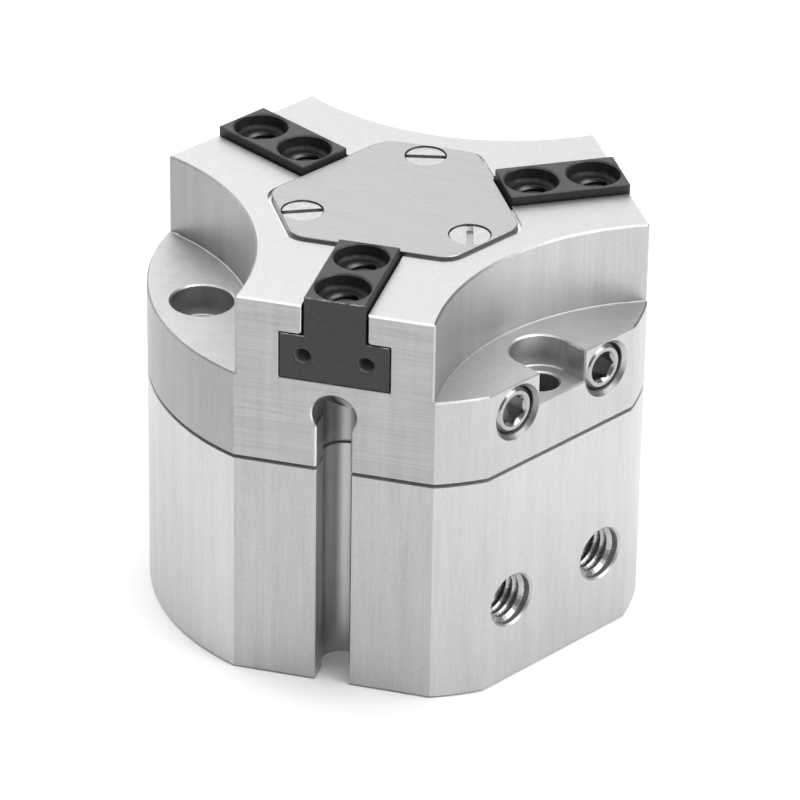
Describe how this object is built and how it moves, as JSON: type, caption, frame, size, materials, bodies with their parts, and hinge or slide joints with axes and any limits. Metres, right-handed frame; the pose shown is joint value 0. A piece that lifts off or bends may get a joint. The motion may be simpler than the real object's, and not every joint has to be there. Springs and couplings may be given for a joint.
{
  "type": "pneumatic three-jaw parallel gripper",
  "caption": "Round pneumatic gripper with centric parallel jaws sliding in T-slots, screw ledges between its arms, threaded air ports and sensor slots.",
  "frame": {"origin": "on the gripper's axis in the plane of its underside", "axes": "+Z along the gripper's axis from the base to the jaws; -Y towards the front jaw; +X to its right seen from the front"},
  "size_m": [0.046, 0.0441, 0.0397],
  "materials": {
    "body_lower": "satin, clear anodised",
    "body_upper": "satin, clear anodised",
    "cover_steel": "satin",
    "screw_steel": "bright",
    "plug_steel": "bright",
    "seal_rubber": "matt",
    "cap_aluminium": "satin",
    "spring_steel": "dull",
    "bush_bronze": "satin",
    "black_screw": "black oxide",
    "magnet": "matt",
    "guide_plastic": "matt",
    "tool_steel": "ground",
    "jaw_steel": "black oxide"
  },
  "bodies": {
    "housing": {"cylinder_body": "body_lower", "guide_housing": "body_upper", "cover_plate": "cover_steel", "cover_screws": "screw_steel", "blanking_plugs": "plug_steel", "plug_seals": "seal_rubber", "end_cap": "cap_aluminium", "end_cap_o_ring": "seal_rubber", "retaining_ring": "spring_steel", "seam_o_ring": "seal_rubber", "rod_bush": "bush_bronze", "rod_seal": "seal_rubber", "seal_retainer": "spring_steel", "assembly_screws": "black_screw", "dowel_pins": "screw_steel"},
    "piston": {"piston": "cap_aluminium", "piston_seal_lower": "seal_rubber", "piston_seal_upper": "seal_rubber", "magnet_ring": "magnet", "guide_ring": "guide_plastic", "piston_o_ring": "seal_rubber", "piston_screw": "black_screw", "wedge_hook": "tool_steel"},
    "jaw_front": {"jaw_front": "jaw_steel"},
    "jaw_right": {"jaw_right": "jaw_steel"},
    "jaw_left": {"jaw_left": "jaw_steel"}
  },
  "joints": [
    {"name": "piston_slide", "type": "slide", "parent": "housing", "child": "piston", "axis": [0, 0, 1], "range_m": [0, 0.003]},
    {"name": "jaw_front_slide", "type": "slide", "parent": "housing", "child": "jaw_front", "axis": [0, -1, 0], "range_m": [0, 0.003]},
    {"name": "jaw_right_slide", "type": "slide", "parent": "housing", "child": "jaw_right", "axis": [0.866, 0.5, 0], "range_m": [0, 0.003]},
    {"name": "jaw_left_slide", "type": "slide", "parent": "housing", "child": "jaw_left", "axis": [-0.866, 0.5, 0], "range_m": [0, 0.003]}
  ],
  "couplings": [
    {"joint": "jaw_front_slide", "follows": "piston_slide", "ratio": 1},
    {"joint": "jaw_right_slide", "follows": "piston_slide", "ratio": 1},
    {"joint": "jaw_left_slide", "follows": "piston_slide", "ratio": 1}
  ]
}
